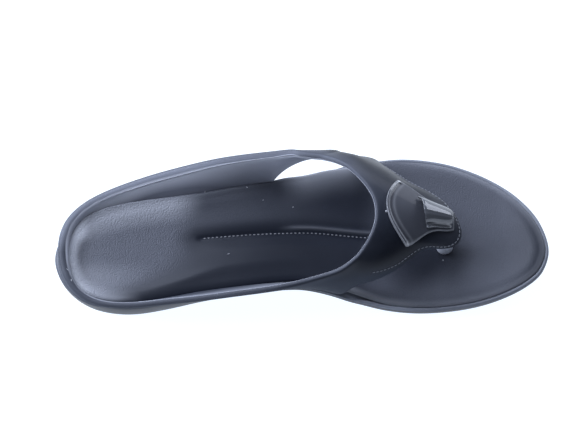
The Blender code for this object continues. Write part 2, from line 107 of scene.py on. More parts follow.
def finishPiece(bm, name, material, node=None):  # node: the solid that it stands in for
    mesh = bpy.data.meshes.new(name)
    bm.to_mesh(mesh)
    bm.free()
    mesh.shade_smooth()
    mesh.materials.append(material)
    piece = bpy.data.objects.new(name, mesh)
    bpy.context.scene.collection.objects.link(piece)
    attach(piece, "root")
    if node:
        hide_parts(node)
    print(name, len(mesh.polygons), "faces")
    return piece


def nearestOf(places):  # finds the nearest of some places as seen from above
    finder = KDTree(len(places))
    for i, place in enumerate(places):
        finder.insert((place.x, place.y, 0), i)
    finder.balance()
    return lambda place: finder.find((place.x, place.y, 0))


def plumb(tree, place):  # where a plumb line from a place, in mm, meets a piece
    return tree.ray_cast(place * mm, Vector((0, 0, -1)))[0]


def spaced(points, step, closed=False):  # the same path with points a step apart
    points = points + points[:1] if closed else points
    lengths = [0.0]
    for a, b in zip(points, points[1:]):
        lengths.append(lengths[-1] + (b - a).length)
    count = max(2, round(lengths[-1] / step))
    found, i = [], 0
    for k in range(count if closed else count + 1):
        want = lengths[-1] * k / count
        while lengths[i + 1] < want and i < len(points) - 2:
            i += 1
        share = (want - lengths[i]) / max(lengths[i + 1] - lengths[i], 1e-9)
        found.append(points[i].lerp(points[i + 1], share))
    return found


def eased(points, rounds, closed=False):  # takes small kinks out of a path
    for _ in range(rounds):
        middle = [(points[i - 1] + points[i] * 2 + points[(i + 1) % len(points)]) / 4
                  for i in range(len(points))]
        if not closed:
            middle[0], middle[-1] = points[0], points[-1]
        points = middle
    return points


def piping(name, points, radius, share):  # a round bead along a path, as a mesh; share(place) thins it
    curve = bpy.data.curves.new(name, "CURVE")
    curve.dimensions = "3D"
    curve.bevel_depth = radius
    curve.bevel_resolution = 2
    curve.use_fill_caps = True
    spline = curve.splines.new("POLY")
    spline.points.add(len(points) - 1)
    for point, place in zip(spline.points, points):
        point.co, point.radius = (*place, 1.0), share(place)
    guide = bpy.data.objects.new(name, curve)
    bpy.context.scene.collection.objects.link(guide)
    made = guide.evaluated_get(bpy.context.evaluated_depsgraph_get()).to_mesh()
    bm = bmesh.new()
    bm.from_mesh(made)
    bmesh.ops.remove_doubles(bm, verts=bm.verts, dist=weld)
    bmesh.ops.recalc_face_normals(bm, faces=bm.faces)
    bpy.data.objects.remove(guide)
    bpy.data.curves.remove(curve)
    return bm


def stitch(bm, place, direction, normal, size):  # one rounded stitch: length, width and height in mm
    side = normal.cross(direction).normalized()
    up = direction.cross(side).normalized()
    turn = Matrix((direction.normalized(), side, up)).transposed().to_4x4()
    scale = Matrix.Diagonal((*(length * mm / 2 for length in size), 1.0))
    bmesh.ops.create_uvsphere(bm, u_segments=8, v_segments=6, radius=1.0,
                              matrix=Matrix.Translation(place) @ turn @ scale)


# shader maths as plain expressions

class Wire:
    def __init__(self, tree, socket=None):
        self.tree, self.socket = tree, socket

    def make(self, kind, settings={}, inputs={}, out=0):
        node = self.tree.nodes.new(kind)
        for name, value in settings.items():
            setattr(node, name, value)
        for name, value in inputs.items():
            if isinstance(value, Wire):
                self.tree.links.new(value.socket, node.inputs[name])
            else:
                node.inputs[name].default_value = value
        return Wire(self.tree, node.outputs[out])

    def maths(self, operation, a, b):
        return self.make("ShaderNodeMath", {"operation": operation}, {0: a, 1: b})

    def __add__(self, other):
        return self.maths("ADD", self, other)

    def __radd__(self, other):
        return self.maths("ADD", other, self)

    def __sub__(self, other):
        return self.maths("SUBTRACT", self, other)

    def __rsub__(self, other):
        return self.maths("SUBTRACT", other, self)

    def __mul__(self, other):
        return self.maths("MULTIPLY", self, other)

    def __rmul__(self, other):
        return self.maths("MULTIPLY", other, self)

    def soft(self, low, high):  # 0 to 1 between two values, either way round
        settings = {"interpolation_type": "SMOOTHSTEP"}
        return self.make("ShaderNodeMapRange", settings, {"Value": self, "From Min": low, "From Max": high})

    def mix(self, first, second):  # first colour at 0, second at 1
        return self.make("ShaderNodeMix", {"data_type": "RGBA"}, {"Factor": self, 6: first, 7: second}, 2)

    def axis(self, name):
        return self.make("ShaderNodeSeparateXYZ", {}, {"Vector": self}, name)

    def stretched(self, scale):
        return self.make("ShaderNodeMapping", {}, {"Vector": self, "Scale": scale}, "Vector")

    def noise(self, size, detail=2.0, rough=0.5):  # size of a blotch in mm
        inputs = {"Vector": self, "Scale": 1 / (size * mm), "Detail": detail, "Roughness": rough}
        return self.make("ShaderNodeTexNoise", {}, inputs, "Fac")

    def cells(self, size):  # size of a grain cell in mm
        inputs = {"Vector": self, "Scale": 1 / (size * mm)}
        return self.make("ShaderNodeTexVoronoi", {"feature": "F1"}, inputs, "Distance")

    def painted(self, name):  # a value set on the vertices
        return self.make("ShaderNodeAttribute", {"attribute_name": name}, {}, "Fac")

    def bump(self, height, depth, strength):  # depth in mm
        inputs = {"Height": height, "Distance": depth * mm, "Strength": strength}
        return self.make("ShaderNodeBump", {}, inputs, "Normal")


def newMaterial(name, constants):  # gives a material, its shader and the surface's own coordinates
    material = bpy.data.materials.new(name)
    material.use_nodes = True
    tree = material.node_tree
    shader = tree.nodes["Principled BSDF"]
    for socket, value in constants.items():
        shader.inputs[socket].default_value = value
    place = Wire(tree).make("ShaderNodeTexCoord", {}, {}, "Object")
    return material, shader, place


def plug(shader, **sockets):  # links wires to the shader's sockets
    for name, wire in sockets.items():
        wire.tree.links.new(wire.socket, shader.inputs[name.replace("_", " ")])


blueGloss = (0.82, 0.87, 1.0, 1.0)  # black leather here throws back a cool light


def upperLeather():
    # rim: a paler binding with painted light on it; hem: the steep sides painted paler; the lining is pale,
    # painted darker lower down as painted shade
    look = {"black": (0.0060, 0.0080, 0.0140, 1), "worn": (0.009, 0.0115, 0.019, 1),
            "rim": (0.200, 0.220, 0.280, 1), "hem": (0.028, 0.035, 0.053, 1),
            "liningTop": (0.740, 0.790, 0.930, 1), "liningLow": (0.110, 0.121, 0.157, 1),
            "pore": 0.55, "fold": 7.0, "blotch": 9.0, "sheen": 14.0}  # sizes in mm
    material, shader, place = newMaterial("smooth black leather", {
        "Specular Tint": blueGloss, "IOR": 1.19, "Coat Roughness": 0.15, "Coat IOR": 1.25})
    inside, depth, rim = place.painted("lining"), place.painted("depth"), place.painted("rim")
    hem = place.painted("hem")  # the steep sides, painted paler and bluer as painted light
    blotch = place.noise(look["blotch"], 3.0)
    sheen = place.noise(look["sheen"])
    pores = place.cells(look["pore"]).soft(0.05, 0.6)
    folds = place.noise(look["fold"], 4.0, 0.6)
    plain = hem.mix(blotch.soft(0.35, 0.7).mix(look["black"], look["worn"]), look["hem"])
    outer = rim.mix(plain, look["rim"])
    plug(shader,
         Base_Color=inside.mix(outer, depth.mix(look["liningTop"], look["liningLow"])),
         Roughness=0.30 + 0.10 * blotch + 0.24 * inside + 0.15 * rim + 0.4 * hem,
         Coat_Weight=(0.06 + 0.10 * sheen) * (1 - inside) * (1 - rim) * (1 - hem),
         Normal=place.bump(pores * 0.35 + folds * 0.65, 0.05, 0.7))
    return material


def footbedLeather():
    # worn: the pale colour of the painted light and painted highlights on the footbed
    look = {"black": (0.0062, 0.0080, 0.0140, 1), "matte": (0.044, 0.049, 0.066, 1),
            "worn": (0.480, 0.512, 0.595, 1),
            "grain": 0.70, "fine": 0.36, "blotch": 11.0,  # sizes in mm
            "stretch": (1.0, 0.82, 1.0)}  # the grain is drawn out across the shoe
    material, shader, place = newMaterial("grained footbed leather", {
        "Specular Tint": blueGloss, "IOR": 1.38})
    matte, paintedLight, grained = place.painted("matte"), place.painted("paintedLight"), place.painted("grain")
    grain = place.stretched(look["stretch"]).cells(look["grain"]).soft(0.0, 0.75)
    fine = place.noise(look["fine"])
    blotch = place.noise(look["blotch"], 3.0)
    dull = matte * (0.80 + 0.2 * blotch + 0.35 * grained * (fine - 0.5) + 0.2 * grain)
    plug(shader,
         Base_Color=paintedLight.mix(dull.mix(look["black"], look["matte"]), look["worn"]),
         Roughness=0.33 + 0.20 * matte + 0.06 * blotch,
         Normal=place.bump((grain * 0.8 + fine * 0.2) * grained, 0.30, 0.8))
    return material


def soleRubber():
    # rim: the top of the rim painted pale, as painted light
    look = {"black": (0.030, 0.034, 0.046, 1), "dusty": (0.042, 0.048, 0.062, 1),
            "rim": (0.210, 0.232, 0.290, 1), "blotch": 13.0, "speckle": 0.5,  # sizes in mm
            "ribs": 80.0,  # a rib of the tread each 4 mm or so
            "dust": 6.0}  # how far up from the floor, in mm
    material, shader, place = newMaterial("black moulded rubber", {"Specular Tint": blueGloss, "IOR": 1.38})
    blotch = place.noise(look["blotch"], 4.0)
    speckle = place.noise(look["speckle"])
    low = place.axis("Z").soft(look["dust"] * mm, 0.0)
    ribs = place.make("ShaderNodeTexWave", {"bands_direction": "X"},
                      {"Vector": place, "Scale": look["ribs"], "Distortion": 0.0})
    side = (0.6 * low + 0.4 * blotch).soft(0.2, 0.9).mix(look["black"], look["dusty"])
    plug(shader,
         Base_Color=place.painted("rim").mix(side, look["rim"]),
         Roughness=0.40 + 0.15 * blotch + 0.15 * low,
         Normal=place.bump(0.08 * speckle + ribs * place.painted("tread"), 0.5, 0.6))
    return material


def trimFinish(name, ior, roughness, coat, base, haze, streaks=0.0):
    # the pale line colour is a painted highlight on the plate's edges; the dark mouth colour is painted
    # shade in the sleeve's open end
    look = {"line": (0.50, 0.53, 0.60, 1), "mouthShade": (0.003, 0.004, 0.006, 1),  # bright edges, dark mouth
            "blotch": 5.0, "relief": 1.2, "streak": 0.9,  # sizes in mm
            "stretch": (0.12, 1.0, 1.0)}  # streaks run along the shoe
    material, shader, place = newMaterial(name, {
        "Specular Tint": blueGloss, "IOR": ior, "Coat Roughness": 0.05, "Coat IOR": 1.5})
    polish, line, mouthShade = place.painted("polish"), place.painted("line"), place.painted("mouthShade")
    blotch = place.noise(look["blotch"], 3.0)
    drawn = place.stretched(look["stretch"]).noise(look["streak"])
    relief = place.noise(look["relief"]) * (1 - streaks) + drawn * streaks
    plug(shader,
         Base_Color=mouthShade.mix(line.mix(blotch.mix(base, haze), look["line"]), look["mouthShade"]),
         Roughness=roughness + 0.08 * blotch - 0.28 * polish + 0.6 * mouthShade,
         Coat_Weight=(coat + 0.1 * blotch + 0.6 * polish) * (1 - mouthShade),
         Normal=place.bump(relief, 0.01 + 0.05 * streaks, 0.5))
    return material


def thread(name, colour):
    material, shader, place = newMaterial(name, {"Specular Tint": blueGloss})
    twist = place.noise(0.35)
    plug(shader,
         Base_Color=twist.mix([0.7 * c for c in colour[:3]] + [1], colour),
         Roughness=0.35 + 0.2 * twist,
         Normal=place.bump(twist, 0.05, 0.8))
    return material


# camera, light and floor

studio = {
    "lens": 100.0, "sensor": 36.0, "eye": (-6.94, -279.87, 812.8), "tilt": 20.0,  # mm and degrees
    # panel: where its middle hangs (mm), its width and height (mm), its strength in watts
    "panels": {
        "overhead, heel side": ((-700, 620, 1360), (1400, 1150), 30.0),
        "far window, heel side": ((-800, 1500, 650), (1500, 900), 36.0),
        "toe window": ((1000, 1120, 400), (900, 760), 10.5),
        "heel window": ((-1300, 250, 800), (900, 700), 26.0),
    },
    "daylight": (0.87, 0.91, 1.0),
    # the sky all round, and a floor that shines like a light table
    "sky": (0.84, 0.89, 1.0, 1), "fill": 0.22,
    "floor": (0.20, 0.20, 0.20, 1), "table": (0.80, 0.88, 1.0, 1), "glow": 1.18,
}


def buildStudio():
    camera = bpy.data.cameras.new("camera")
    camera.lens, camera.sensor_width = studio["lens"], studio["sensor"]
    camera.clip_start, camera.clip_end = 0.05, 50.0
    eye = bpy.data.objects.new("camera", camera)
    eye.location = Vector(studio["eye"]) * mm
    eye.rotation_euler = (math.radians(studio["tilt"]), 0, 0)
    bpy.context.scene.collection.objects.link(eye)
    bpy.context.scene.camera = eye

    for name, (place, (width, height), power) in studio["panels"].items():
        light = bpy.data.lights.new(name, "AREA")
        light.color, light.energy = studio["daylight"], power
        light.shape, light.size, light.size_y = "RECTANGLE", width * mm, height * mm
        panel = bpy.data.objects.new(name, light)
        panel.location = Vector(place) * mm
        panel.rotation_euler = (-panel.location).to_track_quat("-Z", "Y").to_euler()
        bpy.context.scene.collection.objects.link(panel)

    world = bpy.data.worlds.new("studio")
    world.use_nodes = True
    background = world.node_tree.nodes["Background"]
    background.inputs["Color"].default_value = studio["sky"]
    background.inputs["Strength"].default_value = studio["fill"]
    bpy.context.scene.world = world
    bpy.context.scene.view_settings.view_transform = "Standard"

    bm = bmesh.new()
    bmesh.ops.create_grid(bm, x_segments=1, y_segments=1, size=3.0)
    mesh = bpy.data.meshes.new("floor")
    bm.to_mesh(mesh)
    bm.free()
    material = newMaterial("pale floor", {
        "Roughness": 0.9, "Base Color": studio["floor"],
        "Emission Color": studio["table"], "Emission Strength": studio["glow"]})[0]
    mesh.materials.append(material)
    floor = bpy.data.objects.new("floor", mesh)
    bpy.context.scene.collection.objects.link(floor)
    print("studio ready")


buildStudio()


# sole

sole = {
    # how light the top of its rim is painted, as painted light: all round, more towards the toe, and more
    # by the near hem
    "allRound": 0.2, "toFront": 0.3, "byHem": 0.5,
    "front": (-60, 0), "hemAlong": (0, 14, 45, 70), "hemAcross": (-24, -10),
}


def makeSole():
    bm = subdivided(cadCopy("sole"), 2)
    rim, tread = bm.verts.layers.float.new("rim"), bm.verts.layers.float.new("tread")
    bm.normal_update()
    for v in bm.verts:
        x, y, _ = v.co / mm
        hem = between(*sole["hemAlong"], x) * (1 - smooth(*sole["hemAcross"], y))
        light = sole["allRound"] + sole["toFront"] * smooth(*sole["front"], x) + sole["byHem"] * hem
        v[rim] = smooth(0.05, 0.5, v.normal.z) * light
        v[tread] = smooth(0.8, 0.95, -v.normal.z)
    finishPiece(bm, "moulded_sole", soleRubber(), "sole")


# padded footbed with its stitched centre seam

footbed = {
    # the seam: x and y in mm from the middle of the shoe, its ends, its groove and its stitches
    "seam": ((-53, -4.5), (-38, -2.7), (-20, -0.9), (-1, 0.4), (9, 0.5), (25, -0.5), (36, -1.1),
             (60, -1.3)),
    "seamEnds": (-52, 44), "groove": 0.5, "grooveWidth": 1.3,
    "stitchStep": 2.2, "stitchRise": 0.12, "stitch": (1.25, 0.65, 0.5),
    "fineMesh": (-60, 56, 8),  # from here to there, and so far to both sides of the seam
    # the ridge beside the seam: its height, its width, how far off it runs, where it rises and ends
    "ridge": 0.9, "ridgeWidth": 1.3, "ridgeAway": 2.4, "ridgeEnds": (-14, 2, 40, 50),
    # the soft round edge: how far it is pressed down (x, share of its height), how wide it is,
    # and how far it swells out (x, mm)
    "press": ((-120, 0.06), (-75, 0.06), (-45, 0.08), (30, 0.08), (55, 0.16), (126, 0.16)),
    "rollWidth": 5.5,
    "swell": ((-120, 3.0), (-100, 2.6), (-30, 2.2), (-12, 1.4), (24, 0.9), (45, 1.9), (126, 1.9)),
    # how far the edge rises along the wall, on the far and on the near side (x, mm)
    "liftFar": ((-121, 1.8), (-95, 1.7), (-60, 1.1), (-20, 1.0), (5, 0.4), (20, 0.0), (126, 0.0)),
    "liftNear": ((-121, 1.8), (-100, 1.2), (-85, 0.3), (-60, 0.0), (126, 0.0)),
    # the near side falls off to its edge: from how far in, and by how much (x, mm)
    "nearReach": ((-121, 4), (-96, 4), (-78, 5), (-58, 7.5), (-38, 11), (126, 11)),
    "nearRoll": ((-121, 0.0), (-106, 0.1), (-90, 0.55), (-75, 1.05), (-58, 1.4), (-20, 1.4), (20, 0.6),
                 (40, 0.0), (126, 0.0)),
    # where the matte heel seat ends (y, x), and how matte the far side of the waist is, its paler colour
    # there painted light
    "seatEnd": ((-36, -102), (-31, -90), (-27, -80), (-22, -71), (-15, -64), (-9, -63), (-5, -64),
                (0, -62), (16, -60)),
    "farWaist": 0.42,
    # the shade round the nose: its middle, its reach along and across; and the shade at the tip
    "shade": (60, -9), "shadeReach": (25, 22), "tipShade": (98, 124),
    "toesFrom": (28, 55),  # the matte front begins here (x)
    "nearSide": (14, 24),  # how far from the shoe's middle the near side begins
    # the painted highlight round the heel: the middle of the heel (y), where the line fades out (y, x), its
    # width on the near and on the far side, how much of it is left along the sides, where its back ends (x)
    "heelMiddle": -12.8, "lineEnd": ((-28, -90), (-5, -60)), "lineWidth": (2.4, 9.2),
    "farWidth": (2.5, 17.0), "lineSides": 0.31, "lineBack": (-118, -106),
    # how strongly the painted light shows elsewhere, and where along the shoe (x)
    "edgeWidth": (0.3, 4.5), "toeEdge": 0.125, "toeEdgeFrom": (45, 75),
    "nearEdge": 0.26, "nearEdgeEnds": (14, 26, 40, 70), "farEdge": 0.036, "farEdgeTo": (-10, 10),
    "window": 0.28, "windowEnds": (-14, 4, 30, 46), "windowReach": 19.0,
    "ridgeHighlight": 0.085, "seatLight": 0.07, "seatLightTo": (-112, -70),
}


def seamSide(x):
    return along(footbed["seam"], x)


def footbedRise(x, y, z, normal):  # the seam's groove and the ridge beside it, on the top alone
    if normal.z < 0.35:
        return 0.0
    start, end = footbed["seamEnds"]
    away = y - seamSide(x)
    groove = footbed["groove"] * hump(away, footbed["grooveWidth"])
    ridge = footbed["ridge"] * hump(away - footbed["ridgeAway"], footbed["ridgeWidth"])
    return ridge * between(*footbed["ridgeEnds"], x) - groove * between(start - 4, start, end, end + 8, x)


def rollEdge(bm):  # presses the footbed's rim down softly and swells its side out to the wall
    bm.normal_update()
    sides = [v for v in bm.verts if abs(v.normal.z) < 0.3]
    under = [v for v in bm.verts if v.normal.z < -0.7]
    nearestSide, nearestUnder = nearestOf([v.co for v in sides]), nearestOf([v.co for v in under])
    outward = [Vector((v.normal.x, v.normal.y, 0)).normalized() for v in sides]
    moves = []
    for v in bm.verts:
        x = v.co.x / mm
        _, side, inward = nearestSide(v.co)
        height = v.co.z - under[nearestUnder(v.co)[1]].co.z
        raised = smooth(0, 2, height / mm)  # its underside stays as it is
        byEdge = 1 - smooth(0, footbed["rollWidth"], inward / mm)
        nearSide = smooth(-0.4, 0.4, -outward[side].y)
        press = along(footbed["press"], x) * byEdge
        swell = along(footbed["swell"], x) * byEdge * raised
        lift = along(footbed["liftNear"], x) * nearSide + along(footbed["liftFar"], x) * (1 - nearSide)
        lift *= 1 - smooth(0, 3, inward / mm)
        reach = along(footbed["nearReach"], x)
        lift -= along(footbed["nearRoll"], x) * nearSide * (1 - smooth(0, reach, inward / mm))
        up = lift * raised * mm - max(0, height) * press
        moves.append(outward[side] * swell * mm + Vector((0, 0, up)))
    for v, move in zip(bm.verts, moves):
        v.co += move


def matteShares(x, y, away):  # how matte the leather is on the heel seat, at the waist and under the toes; the far waist is painted paler as painted light, and the toes darker round the nose and at the tip as painted shade
    seat = along(footbed["seatEnd"], y)
    spread = 9 + 6 * smooth(4, 14, -away)  # it fades more slowly on the near side
    heel = 1 - smooth(seat - spread, seat + spread, x)
    waist = footbed["farWaist"] * smooth(2, 10, away) * (1 - 0.7 * smooth(-40, 20, x)) * (1 - heel)
    (middleX, middleY), (reachX, reachY) = footbed["shade"], footbed["shadeReach"]
    aside = math.hypot((x - middleX) / reachX, (y - middleY) / reachY)
    nearSide = smooth(*footbed["nearSide"], -y)
    start, full = footbed["toesFrom"]
    toes = (0.2 + 0.8 * smooth(0.3, 1.5, aside)) * smooth(start - 4 * nearSide, full - 6 * nearSide, x)
    toes *= 1 - 0.85 * smooth(*footbed["tipShade"], x)
    return heel, waist, toes


def heelLine(x, y, inward):  # the painted highlight round the heel, fainter where it meets the wall
    farSide = smooth(4, 14, y - footbed["heelMiddle"])
    narrow = (0.45 + 0.55 * smooth(0.6, 2.8, inward)) * (1 - smooth(*footbed["lineWidth"], inward))
    broad = (0.4 + 0.6 * smooth(0.5, 2.8, inward)) * (1 - smooth(*footbed["farWidth"], inward))
    sides, (start, end) = footbed["lineSides"], footbed["lineBack"]
    back = sides + (1 - sides) * (1 - smooth(start, end - 4 * farSide, x))  # worn most at the back
    back *= 1 - 0.5 * smooth(2, 14, footbed["heelMiddle"] - y)  # and less at the near corner
    fade = along(footbed["lineEnd"], y)
    return back * (narrow + (broad - narrow) * farSide) * (1 - smooth(fade - 11, fade + 11, x))


def paintedLightShare(x, y, away, inward, heel):  # how much painted light lies on the leather: its edges, the light through the window, the ridge and the heel seat
    toeEdge = footbed["toeEdge"] * smooth(*footbed["toeEdgeFrom"], x)
    nearEdge = footbed["nearEdge"] * between(*footbed["nearEdgeEnds"], x) * smooth(*footbed["nearSide"], -y)
    farEdge = footbed["farEdge"] * (1 - smooth(*footbed["farEdgeTo"], x)) * smooth(4, 12, away)
    edge = 1 - smooth(*footbed["edgeWidth"], inward)
    window = footbed["window"] * between(*footbed["windowEnds"], x) * smooth(2, 12, y)
    window *= max(0.0, 1 - inward / footbed["windowReach"]) ** 2  # paler where light comes in
    ridge = footbed["ridgeHighlight"] * hump(away - footbed["ridgeAway"], 1.0)
    ridge *= between(*footbed["ridgeEnds"], x)
    spots = 0.2 + 0.6 * (1 - smooth(-114, -98, x)) + 1.5 * smooth(2, 12, footbed["heelMiddle"] - y)
    seat = footbed["seatLight"] * heel * (1 - smooth(*footbed["seatLightTo"], x)) * spots
    return heelLine(x, y, inward) + edge * (toeEdge + nearEdge + farEdge) + window + ridge + seat


def markMatteAndLight(bm):  # matte on the heel seat and under the toes, with painted light along the seat's edge, the ridge and elsewhere
    matte = bm.verts.layers.float.new("matte")
    paintedLight = bm.verts.layers.float.new("paintedLight")
    grain = bm.verts.layers.float.new("grain")
    bm.normal_update()
    nearestSide = nearestOf([v.co for v in bm.verts if abs(v.normal.z) < 0.3])
    for v in bm.verts:
        x, y, _ = v.co / mm
        away, inward = y - seamSide(x), nearestSide(v.co)[2] / mm
        heel, waist, toes = matteShares(x, y, away)
        v[matte] = heel + waist + toes
        v[grain] = heel + 0.5 * waist + 0.5 * toes
        v[paintedLight] = paintedLightShare(x, y, away, inward, heel)


def makeFootbed():
    bm = subdivided(cadCopy("insole"), 2)
    rollEdge(bm)
    bm.normal_update()
    rear, front, reach = footbed["fineMesh"]
    inSeam = [e for e in bm.edges if all(
        v.normal.z > 0.5 and rear < v.co.x / mm < front and abs(v.co.y / mm - seamSide(v.co.x / mm)) < reach
        for v in e.verts)]
    bmesh.ops.subdivide_edges(bm, edges=inSeam, cuts=1, use_grid_fill=True)
    sculpt(bm, footbedRise)
    markMatteAndLight(bm)
    tree = BVHTree.FromBMesh(bm)
    piece = finishPiece(bm, "padded_footbed", footbedLeather(), "insole")

    start, end = footbed["seamEnds"]
    path = [plumb(tree, Vector((x, seamSide(x), 60))) for x in range(start, end)]
    path = spaced(path, footbed["stitchStep"] * mm)
    bm = bmesh.new()
    for here, onward in zip(path, path[1:]):
        middle = (here + onward) / 2
        normal = tree.find_nearest(middle)[1]
        stitch(bm, middle + normal * footbed["stitchRise"] * mm, onward - here, normal, footbed["stitch"])
    finishPiece(bm, "seam_stitches", thread("pale seam thread", (0.16, 0.17, 0.20, 1)))
    return piece


# upper: heel cup, side walls, vamp and nose

upper = {
    # the middle of the foot's room (x, y), its ends (x) and the height that its lining looks to
    "footMiddle": ((-125, -12.8), (-60, -6.8), (0, -1.8), (60, -0.8)),
    "roomEnds": (-95, 60), "roomHeight": 28,
    # the collar is felt for from a place inside it (x, y), up to a height, in so many directions
    "collarMiddle": (-40, -5.8), "collarTop": 62.0, "collarCount": 240,
    # the lining's edge: how far below the rim, its radius, where it starts at the heel (y, x),
    # and how much thinner it is, and where, round the front (x), on the near side (y) and at the heel (x)
    "liningDrop": 1.3, "liningRadius": 0.23, "liningFrom": ((-40, -84), (-20, -84), (0, -104), (40, -104)),
    "frontThin": 0.45, "frontThinFrom": (-5, 30), "nearThin": 0.68, "nearThinTo": (-16, 4),
    "heelThin": 0.4, "heelThinTo": (-98, -86),
    # the vamp's front edge is felt for from a place on the nose (x, y), between two turns in degrees
    "noseMiddle": (40, -0.8), "edgeTurns": (-100, 84), "edgeCount": 150, "edgeReach": (60.0, 5.0),
    "stitchInset": 1.1, "stitchStep": 2.1, "stitchRise": 0.05, "stitch": (1.7, 0.6, 0.4),
    # the lining is painted darker from the rim down, as painted shade: how dark it is at the rim (x,
    # share), and how far down it is darkest (x, mm)
    "liningShade": ((-125, 0.8), (-118, 0.5), (-110, 0.3), (-95, 0.36), (-64, 0.50), (-32, 0.40),
                    (-10, 0.1), (10, 0.0), (60, 0.0)),
    "liningDepth": ((-125, 40), (-108, 34), (-95, 12), (-60, 13), (-30, 34), (0, 60), (60, 60)),
    # how light the rim is painted (x, share), a paler binding lit further by painted light, how light its
    # outer side is, and where it fades out (x)
    "rimLight": ((-125, 0.5), (-110, 0.5), (-95, 0.56), (-64, 0.55), (-32, 0.36), (-6, 0.36), (25, 0.6),
                 (60, 0.6)),
    "rimOut": 0.2, "rimTo": (12, 40),
    # the painted light added to it, and where along the shoe (x): on its inner slope, down the near wall,
    # in a thin painted highlight round the front, on the nose and, up to a height, along the near hem
    "slope": 0.3, "slopeTo": (-20, 20), "nearWall": 0.16, "nearWallTo": (-30, 0),
    "frontLine": 0.13, "frontLineFrom": (0, 40), "nose": 0.07, "noseFrom": (60, 74),
    "nearHem": 0.2, "nearHemFrom": (0, 16), "nearHemTop": (12, 19),
    # the heel cup is swollen, the far shoulder of the vamp eased, and a hollow beside it filled
    "heelMiddle": (-85, -12), "heelSwell": 1.4, "heelSwellTo": (-112, -92), "heelSwellTop": (24, 28),
    "shoulder": (32, 32, 44), "shoulderReach": 20.0, "shoulderRounds": 24,
    "fill": (23, 33.6, 46), "fillWay": (0, 0.94, 0.34), "fillHeight": 2.3, "fillReach": 8.0,
}


def collarPath(tree):  # feels for the rim from inside, all the way round, and steps a little down from it
    found = []
    for k in range(upper["collarCount"]):
        turn = 2 * math.pi * k / upper["collarCount"]
        way = Vector((math.cos(turn), math.sin(turn), 0))
        low, high = 0.0, upper["collarTop"]
        while high - low > 0.02:
            z = high - 1.0 if low == 0 else (low + high) / 2
            if tree.ray_cast(Vector((*upper["collarMiddle"], z)) * mm, way)[0]:
                low = z
            else:
                high = z
        z = low - upper["liningDrop"] * (0.72 + 0.28 * math.sin(turn))  # higher on the near side, to show
        found.append(tree.ray_cast(Vector((*upper["collarMiddle"], z)) * mm, way)[0])
    return eased(spaced(found, 1.5 * mm, closed=True), 3, closed=True)


def vampEdge(tree, inset):  # feels for the vamp's front edge from above, and steps in from it
    first, last = upper["edgeTurns"]
    middle = Vector((*upper["noseMiddle"], 80))
    found = []
    for k in range(upper["edgeCount"] + 1):
        turn = math.radians(first + (last - first) * k / upper["edgeCount"])
        way = Vector((math.cos(turn), math.sin(turn), 0))
        reach, nearest = upper["edgeReach"]
        while reach > nearest and not plumb(tree, middle + way * reach):
            reach -= 0.1
        found.append(plumb(tree, middle + way * (reach - inset)))
    return eased(spaced(found, 1.0 * mm), 4)


def rimShare(x, y, z, normal, below, aside):  # how light the leather is painted along the rim and the near hem: a paler binding, with painted light on the far side, the inner slope, the near wall and hem, and a painted highlight round the front and on the nose
    fromMiddle = y - along(upper["footMiddle"], x)
    outer = smooth(0.0, 0.7, normal.y if fromMiddle > 0 else -normal.y)
    farSide = max(smooth(-6, 12, fromMiddle), 0.1 * (1 - smooth(-124, -108, x)))
    nearOuter = (1 - farSide) * outer
    light = along(upper["rimLight"], x) * (1 - outer) + upper["rimOut"] * outer
    band = (1 - smooth(0.5, 6.5, below)) * (1 - 0.85 * smooth(*upper["rimTo"], x)) * light
    slope = smooth(0.05, 0.5, -normal.y) * (1 - smooth(0.5, 4, below)) * farSide
    band += upper["slope"] * (1 - smooth(*upper["slopeTo"], x)) * slope
    band *= 0.3 + 0.7 * farSide  # painted lightest on the far side, where the light falls
    nearWall = (1 - smooth(*upper["nearWallTo"], x)) * (1 - smooth(8, 20, below)) * nearOuter
    frontLine = smooth(*upper["frontLineFrom"], x) * (1 - smooth(0.5, 1.9, aside))
    nose = smooth(*upper["noseFrom"], x)
    nearHem = smooth(*upper["nearHemFrom"], x) * (1 - smooth(*upper["nearHemTop"], z)) * nearOuter
    return (band + upper["nearWall"] * nearWall + upper["frontLine"] * frontLine
            + upper["nose"] * nose + upper["nearHem"] * nearHem)


def markLining(bm, rim):  # the faces that look into the foot's room with their painted shade, the rim with its painted light, and the steep sides painted paler
    lining = bm.verts.layers.float.new("lining")
    depth = bm.verts.layers.float.new("depth")
    band = bm.verts.layers.float.new("rim")
    hem = bm.verts.layers.float.new("hem")
    nearestRim = nearestOf(rim)
    rear, front = upper["roomEnds"]
    bm.normal_update()
    for v in bm.verts:
        x, y, z = v.co / mm
        middle = along(upper["footMiddle"], x)
        inward = Vector((min(front, max(rear, x)), middle, upper["roomHeight"])) - Vector((x, y, z))
        near = smooth(3, 9, middle - y) * smooth(-124, -116, x)  # there only its edge shows, and it is painted mostly as the dark outer leather, as painted shade
        v[lining] = smooth(0.48, 0.62, v.normal.dot(inward.normalized())) * (1 - 0.75 * near)
        _, at, aside = nearestRim(v.co)
        below = rim[at].z / mm - z
        dark = below / along(upper["liningDepth"], x) + along(upper["liningShade"], x)
        v[depth] = min(1.0, max(0.0, dark))
        v[band] = rimShare(x, y, z, v.normal, below, aside / mm)
        v[hem] = (1 - smooth(0.05, 0.6, v.normal.z)) * (1 - v[lining])


def heelSwell(x, y, z, normal):  # the heel cup is drawn out to the sole's rim
    dx, dy = x - upper["heelMiddle"][0], y - upper["heelMiddle"][1]
    outward = (normal.x * dx + normal.y * dy) / max(1.0, math.hypot(dx, dy))
    low = (1 - smooth(*upper["heelSwellTo"], x)) * (1 - smooth(*upper["heelSwellTop"], z))
    return upper["heelSwell"] * low * smooth(0.3, 0.9, outward)


